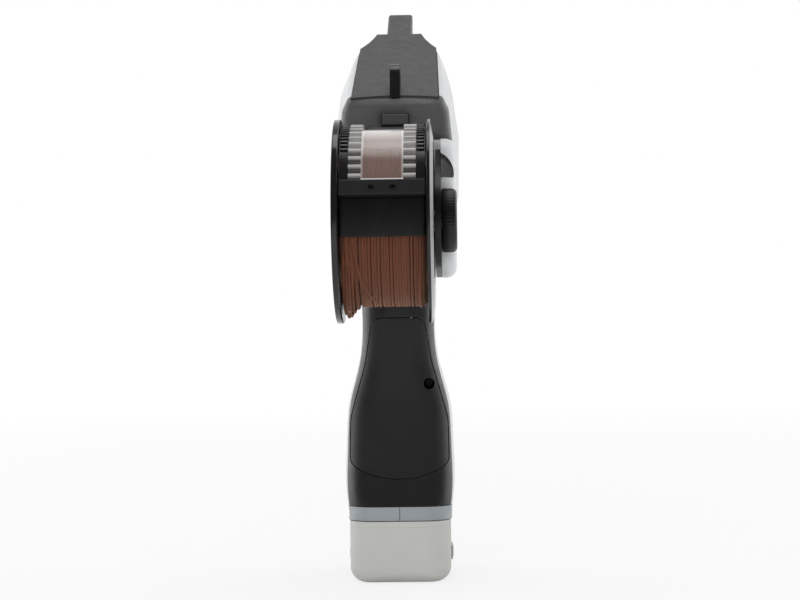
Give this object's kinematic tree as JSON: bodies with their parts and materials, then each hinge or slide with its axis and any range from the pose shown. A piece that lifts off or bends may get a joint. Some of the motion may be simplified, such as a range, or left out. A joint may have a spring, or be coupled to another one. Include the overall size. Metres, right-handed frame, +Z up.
{
  "type": "electric vine tying tool",
  "caption": "Cordless vine tying tool with a pistol grip, a reel of paper-covered wire behind the head, a swinging hook jaw and a twister under a pointed nose.",
  "frame": {"origin": "centre of the battery's underside, on which the tool stands", "axes": "+Z up, +Y forward to the jaw, +X to the right as seen from behind"},
  "size_m": [0.067, 0.2559, 0.3179],
  "materials": {
    "white_shell": "satin white moulded plastic",
    "cover_grey": "satin grey moulded plastic",
    "panel_grey": "fine-grained dark grey plastic",
    "grip_rubber": "soft grained grip",
    "overmould_rubber": "soft-touch overmould",
    "black_plastic": "moulded black plastic",
    "clear_guard": "clear ribbed plastic",
    "flap_rubber": "matt black rubber",
    "paper_wire": "brown paper-covered wire",
    "battery_grey": "pale grey moulded plastic",
    "latch_grey": "grey moulded plastic",
    "cell_wrap": "shrink wrap",
    "steel": "bright steel",
    "motor_steel": "plated can",
    "brass": "turned",
    "screw_black": "blackened screws",
    "board": "circuit board"
  },
  "bodies": {
    "tool": {"left_housing": "white_shell", "right_housing": "white_shell", "top_cover": "cover_grey", "rear_panel": "panel_grey", "grip_backstrap": "grip_rubber", "grip_overmould": "overmould_rubber", "housing_screws": "screw_black", "backstrap_screw": "screw_black", "hanging_eye": "black_plastic", "nose": "cover_grey", "jaw_pin": "steel", "jaw_frame": "steel", "jaw_motor": "motor_steel", "twist_motor": "motor_steel", "twist_gearbox": "motor_steel", "twist_bearing": "brass", "feed_frame": "steel", "feed_motor": "motor_steel", "wire_inlet": "black_plastic", "wire_tube": "steel", "cutter_bush": "steel", "control_board": "board", "trigger_pin": "steel", "trigger_switch": "black_plastic", "terminal_block": "black_plastic", "reel_spindle": "steel", "reel_retainer": "steel", "reel_bracket": "black_plastic", "bracket_screws": "screw_black", "guard_hinge_pin": "steel"},
    "reel": {"reel_left_flange": "black_plastic", "reel_right_flange": "black_plastic", "reel_core": "black_plastic", "reel_bushes": "brass", "wire_bulk": "paper_wire", "wire_outer_layer": "paper_wire"},
    "brake_knob": {"brake_knob": "black_plastic"},
    "guard": {"guard_arms": "black_plastic", "guard_window": "clear_guard", "guard_crossbar": "black_plastic", "guard_flap": "flap_rubber", "guard_screws": "screw_black"},
    "jaw": {"jaw_hook": "steel"},
    "idler": {"jaw_idler_gear": "steel"},
    "pinion": {"jaw_pinion": "steel"},
    "twister": {"twist_shaft": "steel", "twist_hook": "steel"},
    "feed_roller": {"feed_roller": "steel"},
    "pinch_lever": {"pinch_lever": "steel"},
    "pinch_roller": {"pinch_roller": "steel"},
    "trigger": {"trigger": "black_plastic"},
    "plunger": {"switch_plunger": "black_plastic"},
    "power_button": {"power_button": "black_plastic"},
    "battery": {"battery_base": "battery_grey", "battery_stem": "battery_grey", "battery_cells": "cell_wrap", "battery_terminals": "brass"},
    "latch_left": {"latch_left": "latch_grey"},
    "latch_right": {"latch_right": "latch_grey"}
  },
  "joints": [
    {"name": "trigger_pull", "type": "hinge", "parent": "tool", "child": "trigger", "pos_m": [0, 0.017, 0.159], "axis": [-1, 0, 0], "range_deg": [0, 9], "stiffness_Nm_per_rad": 0.3},
    {"name": "plunger_press", "type": "slide", "parent": "tool", "child": "plunger", "axis": [0, -1, 0], "range_m": [0, 0.0034]},
    {"name": "power_button_press", "type": "slide", "parent": "tool", "child": "power_button", "axis": [0, 1, 0], "range_m": [0, 0.0012], "stiffness_N_per_m": 400},
    {"name": "reel_spin", "type": "hinge", "parent": "tool", "child": "reel", "pos_m": [0, -0.08, 0.1875], "axis": [1, 0, 0], "continuous": true},
    {"name": "brake_knob_turn", "type": "hinge", "parent": "tool", "child": "brake_knob", "pos_m": [0, -0.08, 0.1875], "axis": [1, 0, 0], "range_deg": [-150, 150]},
    {"name": "guard_open", "type": "hinge", "parent": "tool", "child": "guard", "pos_m": [0, -0.036, 0.2333], "axis": [-1, 0, 0], "range_deg": [0, 75]},
    {"name": "jaw_swing", "type": "hinge", "parent": "tool", "child": "jaw", "pos_m": [0, 0.062, 0.252], "axis": [1, 0, 0], "range_deg": [0, 55]},
    {"name": "jaw_idler_turn", "type": "hinge", "parent": "tool", "child": "idler", "pos_m": [0, 0.053, 0.23641], "axis": [1, 0, 0], "range_deg": [-70, 1]},
    {"name": "jaw_pinion_turn", "type": "hinge", "parent": "tool", "child": "pinion", "pos_m": [0, 0.03984, 0.23162], "axis": [1, 0, 0], "range_deg": [-1, 93]},
    {"name": "twister_spin", "type": "hinge", "parent": "tool", "child": "twister", "pos_m": [0, 0.095, 0.277], "axis": [0, 0.9114, 0.4115], "continuous": true},
    {"name": "feed_roller_spin", "type": "hinge", "parent": "tool", "child": "feed_roller", "pos_m": [0, -0.00499, 0.20262], "axis": [1, 0, 0], "continuous": true},
    {"name": "pinch_lever_lift", "type": "hinge", "parent": "tool", "child": "pinch_lever", "pos_m": [0, -0.002, 0.228], "axis": [-1, 0, 0], "range_deg": [0, 10], "stiffness_Nm_per_rad": 0.2},
    {"name": "pinch_roller_spin", "type": "hinge", "parent": "pinch_lever", "child": "pinch_roller", "pos_m": [0, -0.01182, 0.21642], "axis": [1, 0, 0], "continuous": true},
    {"name": "battery_slide", "type": "slide", "parent": "tool", "child": "battery", "axis": [0, 0, -1], "range_m": [0, 0.06]},
    {"name": "latch_left_press", "type": "slide", "parent": "battery", "child": "latch_left", "axis": [1, 0, 0], "range_m": [0, 0.002], "stiffness_N_per_m": 600},
    {"name": "latch_right_press", "type": "slide", "parent": "battery", "child": "latch_right", "axis": [-1, 0, 0], "range_m": [0, 0.002], "stiffness_N_per_m": 600}
  ],
  "couplings": [
    {"joint": "plunger_press", "follows": "trigger_pull", "m_per_rad": 0.0195},
    {"joint": "jaw_idler_turn", "follows": "jaw_swing", "ratio": -1.25},
    {"joint": "jaw_pinion_turn", "follows": "jaw_swing", "ratio": 1.6667},
    {"joint": "pinch_roller_spin", "follows": "feed_roller_spin", "ratio": -1.5}
  ]
}
